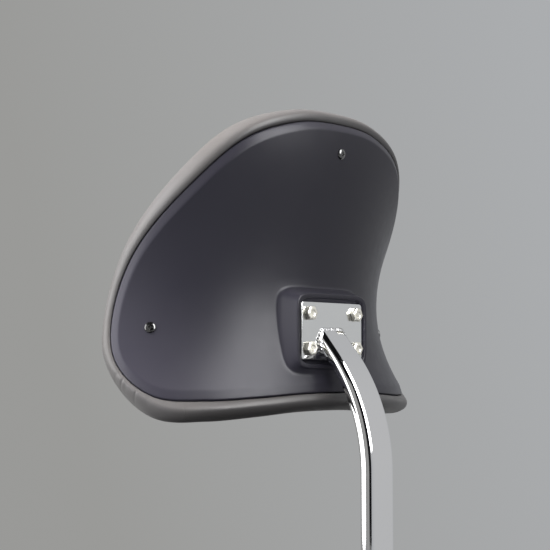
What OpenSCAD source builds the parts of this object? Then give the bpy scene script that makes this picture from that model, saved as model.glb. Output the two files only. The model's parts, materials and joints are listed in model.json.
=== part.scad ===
// Back support of a salon chair: a saddle shaped pad on a bent chrome bar, in a clamped height receiver.
// Millimetres, +Z up, the sitter faces -Y. The origin is the centre of the bracket's bolt pattern, on top.

/* [Pad outline] */
// Half width of the back shell, measured round its curve
shell_half = 231; // [215:1:250]
// Height of the shell above the plate centre
shell_top = 209; // [195:1:230]
// Depth of the shell below the plate centre
shell_drop = 65; // [60:1:76]

/* [Pad curve] */
// Radius of the wrap at the waist
wrap_r = 247; // [230:1:280]
// Growth of the wrap radius one span above or below the waist
wrap_ease = 65; // [45:1:80]
// Height of the waist above the plate centre
waist_z = 31; // [22:1:40]
// Rise of the flare one span away from the waist
flare_rise = 22; // [15:1:26]
// Span over which the flare is measured
flare_span = 100; // [92:1:112]

/* [Back shell] */
// Thickness of the moulded shell
shell_t = 3; // [2.5:0.1:3.6]
// Width of the bevelled lip
lip_w = 8; // [6:0.5:10]
// Fall of the bevelled lip towards the cushion
lip_drop = 4.8; // [4:0.1:5.2]
// Height of the plate's outer face above the shell at the waist
boss_rise = 13.2; // [12:0.1:15]
// Width of the raised rim round the plate
rim_w = 5; // [3.5:0.1:6]
// Height of the rim above the plate's outer face
rim_proud = 1; // [0.5:0.1:2]
// Side gap between plate and rim
gap_x = 2.5; // [1.5:0.1:3.5]
// Gap between plate and rim above and below
gap_z = 4; // [2:0.1:4.5]
// Spread of the boss walls at the sides
draft_x = 6.5; // [5:0.1:8]
// Spread of the boss walls above and below
draft_z = 6; // [4.5:0.1:6.5]
// Thickness of the boss floor under the plate
floor_t = 3.5; // [3:0.1:4]
// Outer radius of the hidden screw posts
post_r = 6; // [5:0.1:8]

/* [Cushion] */
// Depth of the inner board's rear face under the shell surface
board_depth = 10; // [9.8:0.1:11]
// Thickness of the bent board
board_t = 12; // [11:0.5:14]
// Step from the shell's edge back to the board's edge
board_inset = 4; // [3:0.5:7]
// Overhang of the padded edge at the top
roll_top = 16; // [12:0.5:19]
// Overhang of the padded edge at the sides
roll_side = 12; // [9:0.5:14]
// Overhang of the padded edge at the bottom
roll_drop = 6.5; // [5:0.5:10]
// Thickness of the padded edge
roll_t = 30; // [28:0.5:35]
// Extra thickness of the crowned middle
crown = 12; // [6:0.5:18]
// Thickness of the vinyl
vinyl_t = 1.2; // [1:0.1:1.4]
// Width of the vinyl turned in behind the board
turn_in = 20; // [16:1:24]

/* [Mounting plate] */
// Width of the plate
plate_w = 93; // [88:1:100]
// Height of the plate
plate_h = 58; // [54:1:60]
// Thickness of the plate
plate_t = 4; // [3:0.1:4.5]
// Corner radius of the plate
plate_r = 3.5; // [2:0.5:6]
// Bolt spacing across
bolt_dx = 70; // [64:1:73]
// Bolt spacing up and down
bolt_dz = 35; // [32:1:38]
// Height of the plate centre above the bracket
plate_z = 250; // [245:1:290]

/* [Bolts and screws] */
// Bolt shank diameter
bolt_d = 8; // [6:0.5:8]
// Bolt head size across its flats
bolt_af = 13; // [10:0.5:13]
// Bolt head height
bolt_head_h = 5.3; // [4:0.1:6]
// Bolt length under its head
bolt_len = 30; // [29:0.5:31]
// Clearance of the bolt holes over the bolt
bolt_play = 1; // [0.5:0.1:1]
// Shell screw head diameter
screw_head_d = 11; // [9:0.5:12]
// Shell screw head height
screw_head_h = 2; // [1.9:0.1:4]
// Shell screw shank diameter
screw_d = 5; // [4:0.5:5.5]
// Distance of the top screw below the shell's top edge
screw_top_in = 30; // [28:1:40]
// Distance of the side screws in from the shell's widest point
screw_side_in = 40; // [39:1:52]
// Height of the side screws above the plate centre
screw_side_z = 2; // [-4:1:10]

/* [Support bar] */
// Width of the bar
bar_w = 40; // [36:1:42]
// Depth of the bar
bar_d = 16; // [14:1:18]
// Wall of the bar
bar_wall = 2; // [1.5:0.1:2.5]
// Height of the flat left on the bar's rounded narrow sides
bar_flat = 1; // [0.5:0.1:4]
// Distance from the plate's outer face back to the bar's leg
leg_back = 56; // [52:1:62]
// Radius of the bend on its centreline
bend_r = 170; // [155:1:180]
// Angle between the leg and the bar's upper end
bend_angle = 41; // [38:1:44]
// Drop of the bar's centreline below the plate centre, where they meet
weld_drop = 10; // [7:1:12]
// Leg of the weld round the bar
weld_leg = 3.5; // [2.5:0.1:4.5]
// Depth of the end cap's plug
cap_plug = 12; // [8:1:16]
// Thickness of the end cap's head
cap_head = 3; // [2:0.1:5]
// Diameter of the stop pin
stop_d = 5; // [4:0.1:5.5]
// Stand-out of the stop pin on each side
stop_out = 4; // [3.4:0.1:6]

/* [Receiver] */
// Height of the sleeve
sleeve_h = 60; // [54:1:70]
// Height of the sleeve's mouth above the bracket
sleeve_up = 10; // [6:1:14]
// Wall of the sleeve
sleeve_wall = 2.5; // [2:0.1:3.5]
// Wall of the nylon liner
liner_wall = 1.6; // [1.2:0.1:2]
// Thickness of the liner's lip
liner_lip_t = 2; // [1.5:0.1:3]
// Travel of the bar each way from the middle
travel = 45; // [30:1:50]
// Width of the bracket plate
bracket_w = 110; // [104:1:130]
// Thickness of the bracket plate
bracket_t = 5; // [4:0.5:6]
// Bracket bolt spacing across
mount_dx = 80; // [74:1:84]
// Bracket bolt spacing front to back
mount_dy = 40; // [36:1:46]
// Bracket bolt hole diameter
mount_d = 8.5; // [7:0.5:9]
// Distance from the bolt pattern's centre to the bar's leg
leg_y = 70; // [66:1:80]
// Depth of the gussets under the bracket
gusset_h = 30; // [24:1:36]
// Thickness of each gusset
gusset_t = 4; // [3:0.1:5]

/* [Clamp knob] */
// Height of the knob below the bracket's top
knob_drop = 22; // [18:1:24]
// Outer diameter of the knob
knob_d = 42; // [36:1:44]
// Thickness of the knob
knob_t = 18; // [15:1:20]
// Number of lobes
knob_lobes = 5; // [4:1:6]
// Thread diameter of the stem
stem_d = 8; // [7:0.5:8]
// Thread pitch of the stem
stem_pitch = 1.25; // [1:0.05:1.5]
// Turns of the knob from clamped to free
knob_turns = 2; // [1:1:2]
// Length of the weld nut
nut_l = 10; // [9:0.5:12]
// Outer diameter of the weld nut
nut_d = 16; // [15:0.5:18]

/* [Hidden] */
$fn = 64;

// Fits that the pieces share
seat = 0.1;          // between pieces that are fastened to each other
clear = 0.3;         // between the clamp's pad and what it moves past
soft_gap = 0.5;      // between the curved layers of the pad
slide_gap = 0.2;     // between bar and liner, on each side
turn_gap = 0.05;     // round threads and turning pins
cut = 1;             // overrun of every cut
step = 0.5;          // step that finds the slope of the pad's surface
slip = 0.02;         // ledge where the bar's bend meets each straight length

// Skew and ease of the flare, as shares of its rise
flare_skew_share = -0.21;
flare_ease_share = -0.07;

// Right half of the shell's outline from the top middle to the bottom middle.
// First number: share of shell_half. Second: share of shell_top above, of shell_drop below.
outline_shares = [[0, 1], [0.26, 0.977], [0.52, 0.866], [0.723, 0.641], [0.897, 0.355],
                  [0.99, 0.03], [0.985, -0.53], [0.87, -0.943], [0.66, -1], [0.42, -0.968],
                  [0.2, -0.925], [0, -0.915]];
shell_steps = 6;     // points from one outline point to the next on the shell
pad_steps = 3;       // the same on the cushion
boss_power = 7;      // squareness of the boss, which also rounds its corners
late_power = 6;      // the cushion's overhang stays at the side's size until near the top
early_power = 1.5;   // and leaves it at once on the way down
board_shares = [0.15, 0.35, 0.65, 1];    // rings of the board, from its middle to its edge
staple_count = 22;

// Places that follow from the sizes
plate_y = leg_y - leg_back;
half_x = bolt_dx/2;
screw_top = shell_top - screw_top_in;
screw_side = shell_half - screw_side_in;
half_z = bolt_dz/2;
bolt_hole_r = (bolt_d + bolt_play)/2;
floor_y = plate_y - plate_t - seat;
under_floor_y = floor_y - floor_t;
boss_x = plate_w/2 + gap_x + rim_w;
boss_z = plate_h/2 + gap_z + rim_w;
roll_mid = lip_drop + vinyl_t + roll_t/2;
board_front = board_depth + board_t;
hem = board_depth - soft_gap;
tee_r = bolt_d*1.3;
tee_t = bolt_d*0.19;
tee_barrel_r = bolt_d*0.66;
tee_barrel_l = board_t*0.4;
tee_pocket = bolt_d*0.56;
insert_r = screw_d*0.8;
insert_l = board_t*0.75;
screw_len = board_depth + insert_l*0.8;
staple_w = turn_in*0.5;
staple_wire = vinyl_t*0.6;
staple_leg = board_t*0.6;
staple_in = turn_in*0.6;

// Bar section and centreline, from the leg up
bar_r = (bar_d - bar_flat)/2;
run_len = (leg_back - bend_r*(1 - cos(bend_angle)))/sin(bend_angle);
weld_z = plate_z - weld_drop;
arc_z = weld_z - bend_r*sin(bend_angle) - run_len*cos(bend_angle);
sleeve_low = sleeve_up - sleeve_h;
stop_z = sleeve_low - travel - slide_gap - stop_d/2;
bar_low = stop_z - stop_d - cap_plug;

// Receiver, from the bar outwards
liner_in_w = bar_w + 2*slide_gap;
liner_in_d = bar_d + 2*slide_gap;
liner_out_w = liner_in_w + 2*liner_wall;
liner_out_d = liner_in_d + 2*liner_wall;
sleeve_in_w = liner_out_w + 2*seat;
sleeve_in_d = liner_out_d + 2*seat;
sleeve_w = sleeve_in_w + 2*sleeve_wall;
sleeve_d = sleeve_in_d + 2*sleeve_wall;
sleeve_front = leg_y - sleeve_d/2;
sleeve_back = leg_y + sleeve_d/2;
bracket_front = -mount_dy/2 - mount_d*2.2;
bracket_back = sleeve_front - seat;
bracket_r = mount_d*1.2;
gusset_x = sleeve_w*0.2;
gusset_l = bracket_back*0.5;

// Clamp, from the bar's rear face outwards
knob_z = -knob_drop;
pad_r = stem_d*0.62;
pad_hole_r = pad_r + clear;
pad_y = leg_y + bar_d/2 + clear;
pad_l = slide_gap + liner_wall + seat + sleeve_wall - 2*clear;
nose_r = stem_d*0.25;
nose_l = pad_l*0.6;
stem_y = pad_y + pad_l + seat;
retreat = stem_pitch*knob_turns;
nut_y = sleeve_back + seat;
nut_pocket = retreat + stem_y + clear - nut_y;
hub_y = nut_y + nut_l + stem_d*0.2;
stem_in = knob_t*0.7;
cap_r = knob_d*0.22;
cap_t = knob_t*0.12;
lobe_r = knob_d*0.17;

// Surface of the shell. s runs round the wrap, v is the height above the plate centre.
function spans(v) = (v - waist_z)/flare_span;
function wrap_at(v) = wrap_r + wrap_ease*pow(spans(v), 2);
function flare_at(v) = flare_rise*(pow(spans(v), 2) + flare_skew_share*pow(spans(v), 3)
                                   + flare_ease_share*pow(spans(v), 4));
function turn_at(s, v) = s/wrap_at(v)*180/PI;
function skin(s, v) = [wrap_at(v)*sin(turn_at(s, v)),
                       plate_y - boss_rise + flare_at(v) - wrap_at(v)*(1 - cos(turn_at(s, v))),
                       plate_z + v];
function unit(a) = a/norm(a);
function skin_out(s, v) = unit(cross(skin(s, v + step) - skin(s, v - step),
                                     skin(s + step, v) - skin(s - step, v)));
function lay(s, v, depth) = skin(s, v) - depth*skin_out(s, v);

// Closed outline through the half outline and its mirror
function sized(p) = [p[0]*shell_half, p[1] > 0 ? p[1]*shell_top : p[1]*shell_drop];
half_points = [for (p = outline_shares) sized(p)];
half_count = len(half_points);
loop_points = concat(half_points,
                     [for (i = [half_count - 2 : -1 : 1]) [-half_points[i][0], half_points[i][1]]]);
function knot(i) = loop_points[(i + len(loop_points)) % len(loop_points)];
function spline(i, t) = (2*knot(i) + (knot(i + 1) - knot(i - 1))*t
    + (2*knot(i - 1) - 5*knot(i) + 4*knot(i + 1) - knot(i + 2))*t*t
    + (3*knot(i) - knot(i - 1) - 3*knot(i + 1) + knot(i + 2))*t*t*t)/2;
function outline(steps) = [for (i = [0 : len(loop_points) - 1], j = [0 : steps - 1]) spline(i, j/steps)];
function outward(line) = [for (i = [0 : len(line) - 1])
    let (a = line[(i + len(line) - 1) % len(line)], b = line[(i + 1) % len(line)])
    unit([a[1] - b[1], b[0] - a[0]])];
shell_line = outline(shell_steps);
shell_out = outward(shell_line);
pad_line = outline(pad_steps);
pad_out = outward(pad_line);
function spread(line, out, d) = [for (i = [0 : len(line) - 1]) line[i] + out[i]*d];
function shrink(line, share) = [for (p = line) p*share];
function mix(a, b, share) = [for (i = [0 : len(a) - 1]) a[i]*(1 - share) + b[i]*share];
function raise(line, depth) = [for (p = line) lay(p[0], p[1], depth)];

// Padded edge: its overhang goes from the side's size to the top's late, and to the bottom's early
function overhang(n) = n[1] > 0 ? roll_side + (roll_top - roll_side)*pow(n[1], late_power)
                                : roll_drop + (roll_side - roll_drop)*pow(1 + n[1], early_power);
function roll_ring(a, less) = [for (i = [0 : len(pad_line) - 1])
    let (p = pad_line[i] + pad_out[i]*(overhang(pad_out[i]) - less)*cos(a))
    lay(p[0], p[1], roll_mid - (roll_t/2 - less)*sin(a))];
function crown_ring(share, less) = [for (p = pad_line)
    lay(p[0]*share, p[1]*share, roll_mid + roll_t/2 - less + crown*pow(1 - share*share, 2))];
function cushion_rings(less) = concat([for (a = [70, 32, -8, -52]) roll_ring(a, less)],
                                      [for (share = [0.95, 0.66, 0.33]) crown_ring(share, less)]);
function cushion_tip(less) = crown_ring(0, less)[0];

// Boss outline in the direction of each outline point, and the same ring at one depth
function boss_line(a, b) = [for (p = shell_line)
    let (c = abs(p[0]/norm(p)), d = abs(p[1]/norm(p)),
         r = pow(pow(c/a, boss_power) + pow(d/b, boss_power), -1/boss_power)) unit(p)*r];
function flat_ring(line, y) = [for (p = line) [p[0], y, plate_z + p[1]]];

// Two triangles for each step along a pair of rings that start at points a and b.
// strip_back splits the steps along their other diagonal.
function strip(a, b, n) = [for (j = [0 : n - 1], h = [0, 1])
    h == 0 ? [a + j, a + (j + 1) % n, b + j] : [a + (j + 1) % n, b + (j + 1) % n, b + j]];
function strip_back(a, b, n) = flip(strip(b, a, n));
function flip(faces) = [for (f = faces) [f[0], f[2], f[1]]];
function fan(mid, a, n) = [for (j = [0 : n - 1]) [mid, a + j, a + (j + 1) % n]];
function flat(list) = [for (part = list, p = part) p];

// Solid through rings from its rear to its front, closed by a middle point at each end. The bands from
// ring number turned on are split the other way, so that layers which face each other are split alike.
module ring_solid(first, rings, last, turned) {
    n = len(rings[0]);
    k = len(rings);
    side = flat([for (i = [0 : k - 2]) i < turned ? strip(1 + i*n, 1 + (i + 1)*n, n)
                                                  : strip_back(1 + i*n, 1 + (i + 1)*n, n)]);
    polyhedron(points = concat([first], flat(rings), [last]),
               faces = concat(flip(fan(0, 1, n)), side, fan(1 + k*n, 1 + (k - 1)*n, n)));
}

// Bag: outer rings from the hem to the front middle, and inner rings beside them
module ring_bag(outer, inner, tip, inner_tip) {
    n = len(outer[0]);
    k = len(outer);
    m = k*n;
    out_side = flat([for (i = [0 : k - 2]) strip(i*n, (i + 1)*n, n)]);
    in_side = flat([for (i = [0 : k - 2]) strip(m + i*n, m + (i + 1)*n, n)]);
    polyhedron(points = concat(flat(outer), flat(inner), [tip, inner_tip]),
               faces = concat(out_side, flip(in_side), flip(strip(0, m, n)),
                              fan(2*m, (k - 1)*n, n), flip(fan(2*m + 1, m + (k - 1)*n, n))));
}

// Moulding: outer rings from the edge to the middle, then inner rings back to the edge
module ring_shell(outer, inner, mid_out, mid_in) {
    n = len(outer[0]);
    ko = len(outer);
    k = ko + len(inner);
    bands = flat([for (i = [0 : k - 1]) if (i != ko - 1) flip(strip(i*n, ((i + 1) % k)*n, n))]);
    polyhedron(points = concat(flat(outer), flat(inner), [mid_out, mid_in]),
               faces = concat(bands, flip(fan(k*n, (ko - 1)*n, n)), fan(k*n + 1, ko*n, n)));
}

// Closed band through rings, whose last ring joins its first
module ring_band(rings) {
    n = len(rings[0]);
    k = len(rings);
    polyhedron(points = flat(rings), faces = flat([for (i = [0 : k - 1]) strip(i*n, ((i + 1) % k)*n, n)]));
}

// Places that repeat. At bolts and screws, +Z points out of the back.
module at_bolts() {
    for (sx = [-1, 1], sz = [-1, 1])
        translate([sx*half_x, plate_y, plate_z + sz*half_z]) rotate([-90, 0, 0]) children();
}
module at_tees() {
    for (sx = [-1, 1], sz = [-1, 1])
        translate([sx*half_x, lay(half_x, sz*half_z, board_front)[1] + tee_pocket, plate_z + sz*half_z])
            rotate([90, 0, 0]) children();
}
module at_screws() {
    for (q = [[0, screw_top], [screw_side, screw_side_z], [-screw_side, screw_side_z]])
        translate(skin(q[0], q[1])) along(skin_out(q[0], q[1])) children();
}
module along(n) {
    rotate(a = acos(n[2]), v = cross([0, 0, 1], n)) children();
}
module at_clamp(y) {
    translate([0, y, knob_z]) rotate([-90, 0, 0]) children();
}
module bore(r, from, to) {
    translate([0, 0, from]) cylinder(r = r, h = to - from);
}
module round_rect(w, d, r) {
    square([w - 2*r, d], center = true);
    square([w, d - 2*r], center = true);
    for (sx = [-1, 1], sy = [-1, 1]) translate([sx*(w/2 - r), sy*(d/2 - r)]) circle(r);
}
// Upright piece with the bar's section, made larger by grow all round, from z0 to z1
module bar_block(grow, z0, z1) {
    translate([0, leg_y, z0]) linear_extrude(z1 - z0)
        round_rect(bar_w + 2*grow, bar_d + 2*grow, bar_r + grow);
}

module vinyl_cover() {
    outer = concat([raise(spread(pad_line, pad_out, -turn_in), hem - vinyl_t),
                    raise(spread(pad_line, pad_out, soft_gap), hem - vinyl_t)], cushion_rings(0));
    inner = concat([raise(spread(pad_line, pad_out, -turn_in), hem),
                    raise(spread(pad_line, pad_out, soft_gap), hem)], cushion_rings(vinyl_t));
    color([0.42, 0.41, 0.4]) ring_bag(outer, inner, cushion_tip(0), cushion_tip(vinyl_t));
}

module foam_cushion() {
    less = vinyl_t + soft_gap;
    rear = board_front + soft_gap;
    collar = spread(pad_line, pad_out, soft_gap - board_inset);
    rings = concat([for (share = board_shares) raise(shrink(collar, share), rear)],
                   [raise(collar, board_depth), raise(spread(pad_line, pad_out, soft_gap), board_depth)],
                   cushion_rings(less));
    color([0.86, 0.82, 0.68]) difference() {
        ring_solid(lay(0, 0, rear), rings, cushion_tip(less), len(rings));
        at_bolts() bore(bolt_d*0.8, -bolt_len - tee_t*2, 0);
        at_tees() bore(tee_r + soft_gap, 0, tee_t + soft_gap);
    }
}

// Bent board between two depths
module board_blank(rear, front) {
    edge = spread(pad_line, pad_out, -board_inset);
    last = len(board_shares) - 1;
    rings = concat([for (share = board_shares) raise(shrink(edge, share), rear)],
                   [for (i = [last : -1 : 0]) raise(shrink(edge, board_shares[i]), front)]);
    ring_solid(lay(0, 0, rear), rings, lay(0, 0, front), last);
}

module inner_board() {
    color([0.76, 0.6, 0.4]) difference() {
        board_blank(board_depth, board_front);
        at_bolts() bore(tee_barrel_r + seat, -bolt_len*2, 0);
        at_tees() bore(tee_r + seat, 0, tee_pocket*3);
        at_screws() bore(insert_r + seat, -board_depth - insert_l - seat, 0);
    }
}

module staples() {
    depth = hem - vinyl_t;
    line = outline(2);
    out = outward(line);
    for (i = [0 : staple_count - 1]) {
        k = floor(i*len(line)/staple_count);
        p = line[k] - out[k]*staple_in;
        n = skin_out(p[0], p[1]);
        ahead = lay(p[0] + out[k][1], p[1] - out[k][0], depth) - lay(p[0], p[1], depth);
        side = unit(ahead - n*(ahead*n));
        up = cross(n, side);
        c = lay(p[0], p[1], depth);
        color("gainsboro") multmatrix([[side[0], up[0], n[0], c[0]], [side[1], up[1], n[1], c[1]],
                                       [side[2], up[2], n[2], c[2]], [0, 0, 0, 1]]) staple();
    }
}
module staple() {
    translate([-staple_w/2, -staple_wire/2, 0]) cube([staple_w, staple_wire, staple_wire]);
    for (x = [-staple_w/2, staple_w/2 - staple_wire]) translate([x, -staple_wire/2, -staple_leg])
        cube([staple_wire, staple_wire, staple_leg + staple_wire/2]);
}

module tee_nuts() {
    color("silver") at_tees() difference() {
        union() {
            bore(tee_r, 0, tee_t);
            bore(tee_barrel_r, -tee_barrel_l, tee_t/2);
        }
        bore(bolt_d/2 + turn_gap, -tee_barrel_l - cut, tee_t + cut);
    }
}

module screw_inserts() {
    color("goldenrod") at_screws() difference() {
        bore(insert_r, -board_depth - insert_l, -board_depth);
        bore(screw_d/2 + turn_gap, -board_depth - insert_l - cut, cut - board_depth);
    }
}

// Block between the boss floor and the board, hollowed on its front to the board's curve
module spacer_block() {
    w = bolt_dx + bolt_d*1.7;
    h = bolt_dz + bolt_d*1.7;
    color([0.8, 0.66, 0.46]) difference() {
        translate([-w/2, under_floor_y - seat - board_front, plate_z - h/2]) cube([w, board_front, h]);
        board_blank(board_depth - soft_gap/2, board_front + board_t);
        at_bolts() bore(bolt_hole_r, -bolt_len*2, 0);
    }
}

module back_shell() {
    lip = spread(shell_line, shell_out, -lip_w);
    lip_in = spread(shell_line, shell_out, -lip_w - shell_t/2);
    base = boss_line(boss_x + draft_x, boss_z + draft_z);
    base_in = boss_line(boss_x + draft_x - shell_t, boss_z + draft_z - shell_t);
    top_y = plate_y + rim_proud;
    edge = rim_w*0.3;
    outer = [raise(spread(shell_line, shell_out, -shell_t), lip_drop + shell_t),
             raise(shell_line, lip_drop + shell_t),
             raise(shell_line, lip_drop),
             raise(spread(shell_line, shell_out, -lip_w*0.45), lip_drop*0.4),
             raise(lip, 0),
             raise(mix(lip, base, 0.35), 0),
             raise(mix(lip, base, 0.7), 0),
             raise(base, 0),
             flat_ring(boss_line(boss_x, boss_z), top_y - edge),
             flat_ring(boss_line(boss_x - edge, boss_z - edge), top_y),
             flat_ring(boss_line(boss_x - rim_w + edge, boss_z - rim_w + edge), top_y),
             flat_ring(boss_line(boss_x - rim_w, boss_z - rim_w), top_y - edge),
             flat_ring(boss_line(boss_x - rim_w, boss_z - rim_w), floor_y)];
    inner = [flat_ring(boss_line(boss_x - shell_t, boss_z - shell_t), under_floor_y),
             raise(base_in, shell_t),
             raise(mix(lip_in, base_in, 0.5), shell_t),
             raise(lip_in, shell_t)];
    color([0.16, 0.16, 0.18]) difference() {
        union() {
            ring_shell(outer, inner, [0, floor_y, plate_z], [0, under_floor_y, plate_z]);
            at_screws() bore(post_r, soft_gap - board_depth, -shell_t/2);
        }
        at_bolts() bore(bolt_hole_r, -bolt_len, cut);
        at_screws() bore(screw_d/2 + bolt_play/4, -board_depth, cut);
    }
}

module shell_screws() {
    color([0.08, 0.08, 0.08]) at_screws() {
        bore(screw_d/2, -screw_len, seat*2);
        translate([0, 0, seat]) difference() {
            intersection() {
                bore(screw_head_d/2, 0, screw_head_h);
                translate([0, 0, screw_head_h - screw_head_d*0.85]) sphere(r = screw_head_d*0.85);
            }
            bore(screw_head_d*0.18, screw_head_h*0.5, screw_head_h + cut);
        }
    }
}

module mount_plate() {
    color([0.8, 0.8, 0.82]) translate([0, plate_y, plate_z]) rotate([90, 0, 0]) difference() {
        linear_extrude(plate_t) round_rect(plate_w, plate_h, plate_r);
        for (sx = [-1, 1], sz = [-1, 1]) translate([sx*half_x, sz*half_z, -cut])
            cylinder(r = bolt_hole_r, h = plate_t + 2*cut);
    }
}

module hex_bolts() {
    face_r = bolt_af*0.47;
    color([0.78, 0.78, 0.8]) at_bolts() {
        bore(bolt_d/2, -bolt_len, seat*2);
        translate([0, 0, seat]) difference() {
            intersection() {
                cylinder(r = bolt_af/2/cos(30), h = bolt_head_h, $fn = 6);
                cylinder(r1 = face_r + bolt_head_h*tan(60), r2 = face_r, h = bolt_head_h);
            }
            translate([0, 0, bolt_head_h*0.86])
                cylinder(r1 = bolt_af*0.22, r2 = bolt_af*0.3, h = bolt_head_h*0.15);
        }
    }
}

// Corner points of the bar's section where it meets the plate, at height h above the plate
function corner_turn(k, j) = 90 - 90*k - 15*j;
function section_line(grow) = [for (k = [0 : 3], j = [0 : 6])
    let (a = corner_turn(k, j), sx = k < 2 ? 1 : -1, sz = k == 0 || k == 3 ? 1 : -1)
    [sx*(bar_w/2 - bar_r) + (bar_r + grow)*cos(a),
     sz*(bar_d/2 - bar_r)/sin(bend_angle) + (bar_r/sin(bend_angle) + grow)*sin(a)]];
function section_ring(grow, h) = [for (p = section_line(grow))
    [p[0], plate_y + h, weld_z + p[1] - h/tan(bend_angle)]];

module weld_bead() {
    rings = [section_ring(weld_leg, seat), section_ring(seat*2, seat), section_ring(seat*2, weld_leg),
             mix(section_ring(weld_leg, seat), section_ring(weld_leg*0.45, weld_leg*0.95), 0.6)];
    color([0.7, 0.7, 0.72]) ring_band(rings);
}

// Bar path of one section, as three solids. The bend and the upper end each start inside the one before.
module bar_path(less, over) {
    w = bar_w - 2*less;
    d = bar_d - 2*less;
    r = bar_r - less;
    early = step/bend_r*180/PI;
    translate([0, leg_y, bar_low - over]) linear_extrude(arc_z - bar_low + over) round_rect(w, d, r);
    translate([0, leg_y - bend_r, arc_z]) rotate([-early, 0, 0]) rotate([90, 0, 90])
        rotate_extrude(angle = bend_angle + early, $fn = 180) translate([bend_r, 0])
            round_rect(d - 2*slip, w - 2*slip, r - slip);
    translate([0, leg_y - bend_r*(1 - cos(bend_angle)), arc_z + bend_r*sin(bend_angle)])
        rotate([bend_angle, 0, 0]) translate([0, 0, -step]) linear_extrude(step + run_len + bar_d)
            round_rect(w - 4*slip, d - 4*slip, r - 2*slip);
}

module support_bar() {
    color([0.86, 0.86, 0.88]) difference() {
        bar_path(0, 0);
        bar_path(bar_wall, cut);
        translate([-bar_w, plate_y - bar_d*3, weld_z - bar_w]) cube([bar_w*2, bar_d*3, bar_w*3]);
        translate([-bar_w, leg_y, stop_z]) rotate([0, 90, 0])
            cylinder(r = stop_d/2 + turn_gap, h = bar_w*2);
    }
}

module bar_end_cap() {
    color([0.1, 0.1, 0.1]) {
        bar_block(0, bar_low - cap_head, bar_low);
        translate([0, leg_y, bar_low - cap_head/2]) linear_extrude(cap_head/2 + cap_plug)
            round_rect(bar_w - 2*bar_wall - 2*seat, bar_d - 2*bar_wall - 2*seat, bar_r - bar_wall - seat);
    }
}

module bar_stop_pin() {
    color([0.6, 0.6, 0.62]) translate([-bar_w/2 - stop_out, leg_y, stop_z]) rotate([0, 90, 0])
        cylinder(r = stop_d/2, h = bar_w + 2*stop_out);
}

module receiver_sleeve() {
    color([0.14, 0.14, 0.15]) difference() {
        bar_block((sleeve_w - bar_w)/2, sleeve_low, sleeve_up);
        bar_block((sleeve_in_w - bar_w)/2, sleeve_low - cut, sleeve_up + cut);
        at_clamp(leg_y) bore(pad_hole_r, 0, sleeve_d);
    }
}

module sleeve_liner() {
    top = sleeve_up + seat + liner_lip_t;
    color([0.9, 0.9, 0.88]) difference() {
        union() {
            bar_block((liner_out_w - bar_w)/2, sleeve_low, top);
            bar_block((sleeve_w - bar_w)/2, sleeve_up + seat, top);
        }
        bar_block(slide_gap, sleeve_low - cut, top + cut);
        at_clamp(leg_y) bore(pad_hole_r, 0, sleeve_d);
    }
}

module bracket_plate() {
    color([0.14, 0.14, 0.15]) translate([0, 0, -bracket_t]) difference() {
        linear_extrude(bracket_t) translate([0, (bracket_front + bracket_back)/2])
            round_rect(bracket_w, bracket_back - bracket_front, bracket_r);
        for (sx = [-1, 1], sy = [-1, 1]) translate([sx*mount_dx/2, sy*mount_dy/2, -cut])
            cylinder(r = mount_d/2, h = bracket_t + 2*cut);
    }
}

// Upright prism from a profile drawn in Y and Z, from x0 to x1
module side_prism(x0, x1, profile) {
    translate([x0, 0, 0]) rotate([90, 0, 90]) linear_extrude(x1 - x0) polygon(profile);
}

module bracket_gussets() {
    low = -bracket_t - seat;
    color([0.14, 0.14, 0.15]) for (sx = [-1, 1])
        side_prism(sx*gusset_x - gusset_t/2, sx*gusset_x + gusset_t/2,
                   [[bracket_back - gusset_l, low], [bracket_back, low], [bracket_back, low - gusset_h],
                    [bracket_back - bracket_t, low - gusset_h], [bracket_back - gusset_l, low - bracket_t]]);
}

module bracket_weld() {
    low = -bracket_t - seat;
    leg = bracket_t*0.8;
    in_x = gusset_x - gusset_t/2 - seat;
    color([0.3, 0.3, 0.31]) side_prism(-in_x, in_x, [[bracket_back - leg, low], [bracket_back, low - leg],
                                                     [bracket_back, low]]);
}

module weld_nut() {
    color([0.5, 0.5, 0.52]) at_clamp(nut_y) difference() {
        bore(nut_d/2, 0, nut_l);
        bore(pad_hole_r, -cut, nut_pocket);
        bore(stem_d/2 + turn_gap, -cut, nut_l + cut);
    }
}

module clamp_pad() {
    color([0.75, 0.65, 0.35]) at_clamp(pad_y) difference() {
        bore(pad_r, 0, pad_l);
        bore(nose_r + turn_gap, pad_l - nose_l - seat, pad_l + cut);
    }
}

module knob_stem() {
    color([0.65, 0.65, 0.67]) at_clamp(stem_y) {
        bore(stem_d/2, 0, hub_y - stem_y + stem_in);
        bore(nose_r, -nose_l, seat);
    }
}

module knob_grip() {
    color([0.1, 0.1, 0.1]) at_clamp(hub_y) difference() {
        linear_extrude(knob_t) {
            circle(knob_d*0.39);
            for (i = [0 : knob_lobes - 1])
                rotate(i*360/knob_lobes) translate([knob_d/2 - lobe_r, 0]) circle(lobe_r);
        }
        bore(stem_d/2 + turn_gap, -cut, stem_in + seat);
        bore(cap_r + seat, knob_t - cap_t, knob_t + cut);
    }
}

module knob_cap() {
    color([0.6, 0.6, 0.62]) at_clamp(hub_y + knob_t - cap_t + seat) {
        bore(cap_r, 0, cap_t);
        translate([0, 0, cap_t]) cylinder(r1 = cap_r, r2 = cap_r*0.75, h = cap_t*0.5);
    }
}

vinyl_cover();
foam_cushion();
inner_board();
staples();
tee_nuts();
screw_inserts();
spacer_block();
back_shell();
shell_screws();
mount_plate();
hex_bolts();
weld_bead();
support_bar();
bar_end_cap();
bar_stop_pin();
receiver_sleeve();
sleeve_liner();
bracket_plate();
bracket_gussets();
bracket_weld();
weld_nut();
clamp_pad();
knob_stem();
knob_grip();
knob_cap();
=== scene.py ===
"""Back support of a salon chair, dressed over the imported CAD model. Metres, in the CAD's frame."""
import json
import math

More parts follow.
